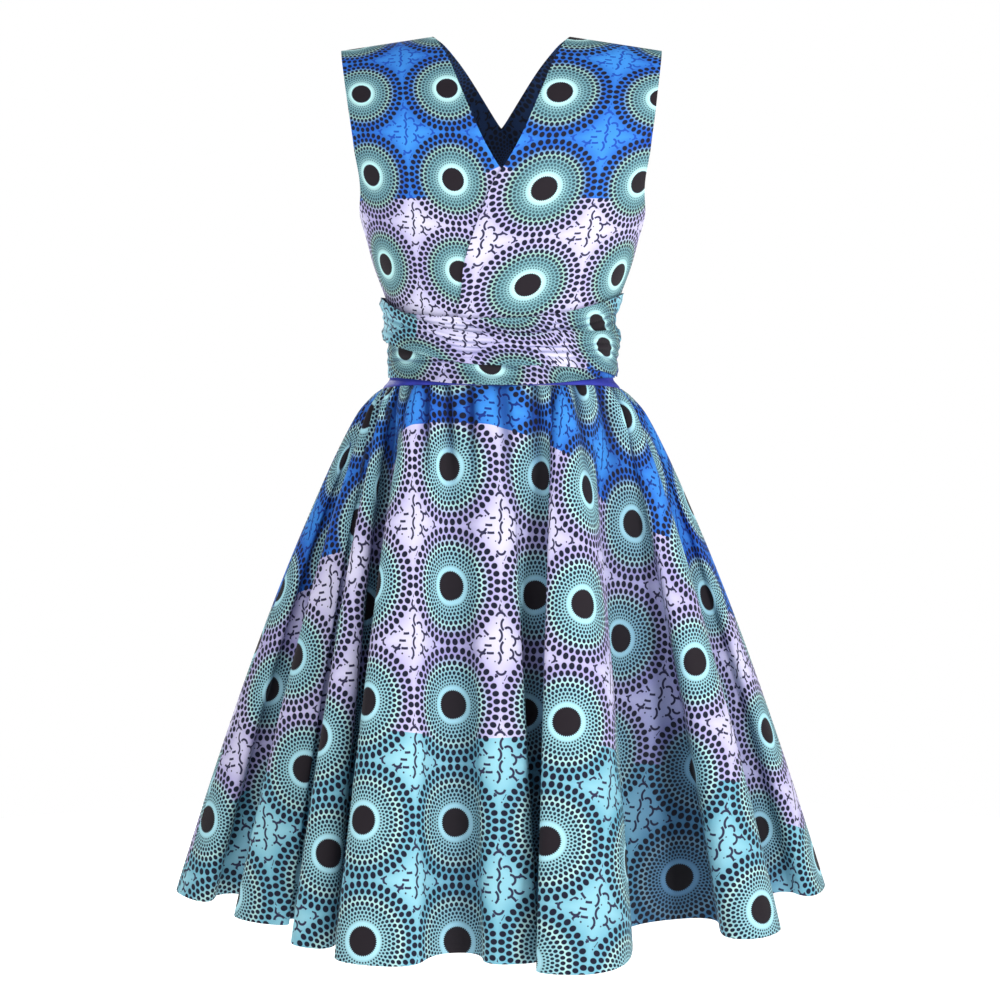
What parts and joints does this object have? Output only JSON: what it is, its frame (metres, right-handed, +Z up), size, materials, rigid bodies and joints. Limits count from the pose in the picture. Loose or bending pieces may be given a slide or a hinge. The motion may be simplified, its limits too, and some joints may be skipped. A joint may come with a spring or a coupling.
{
  "type": "sleeveless wrap dress",
  "caption": "Sleeveless knee-length cotton dress with crossed shoulder bands, a wound waist and a full gathered skirt, held in its worn, hollow form.",
  "frame": {"origin": "midway between the two shoulders, at the height where the shoulder bands rest on the wearer", "axes": "+Z up, the front of the dress faces -Y, +X is the wearer's left"},
  "size_m": [0.7683, 0.61, 0.9892],
  "materials": {
    "printed_cotton": "printed cotton with a slight sheen, dotted discs in blue, lavender and aqua with near-black dots",
    "plain_cotton": "matt royal blue cotton"
  },
  "bodies": {
    "root": {"band_left": "printed_cotton", "band_right": "printed_cotton", "wrap_lower": "printed_cotton", "wrap_upper": "printed_cotton", "wrap_crossing": "printed_cotton", "skirt_front": "printed_cotton", "skirt_back": "printed_cotton", "waistband": "plain_cotton"}
  },
  "joints": []
}
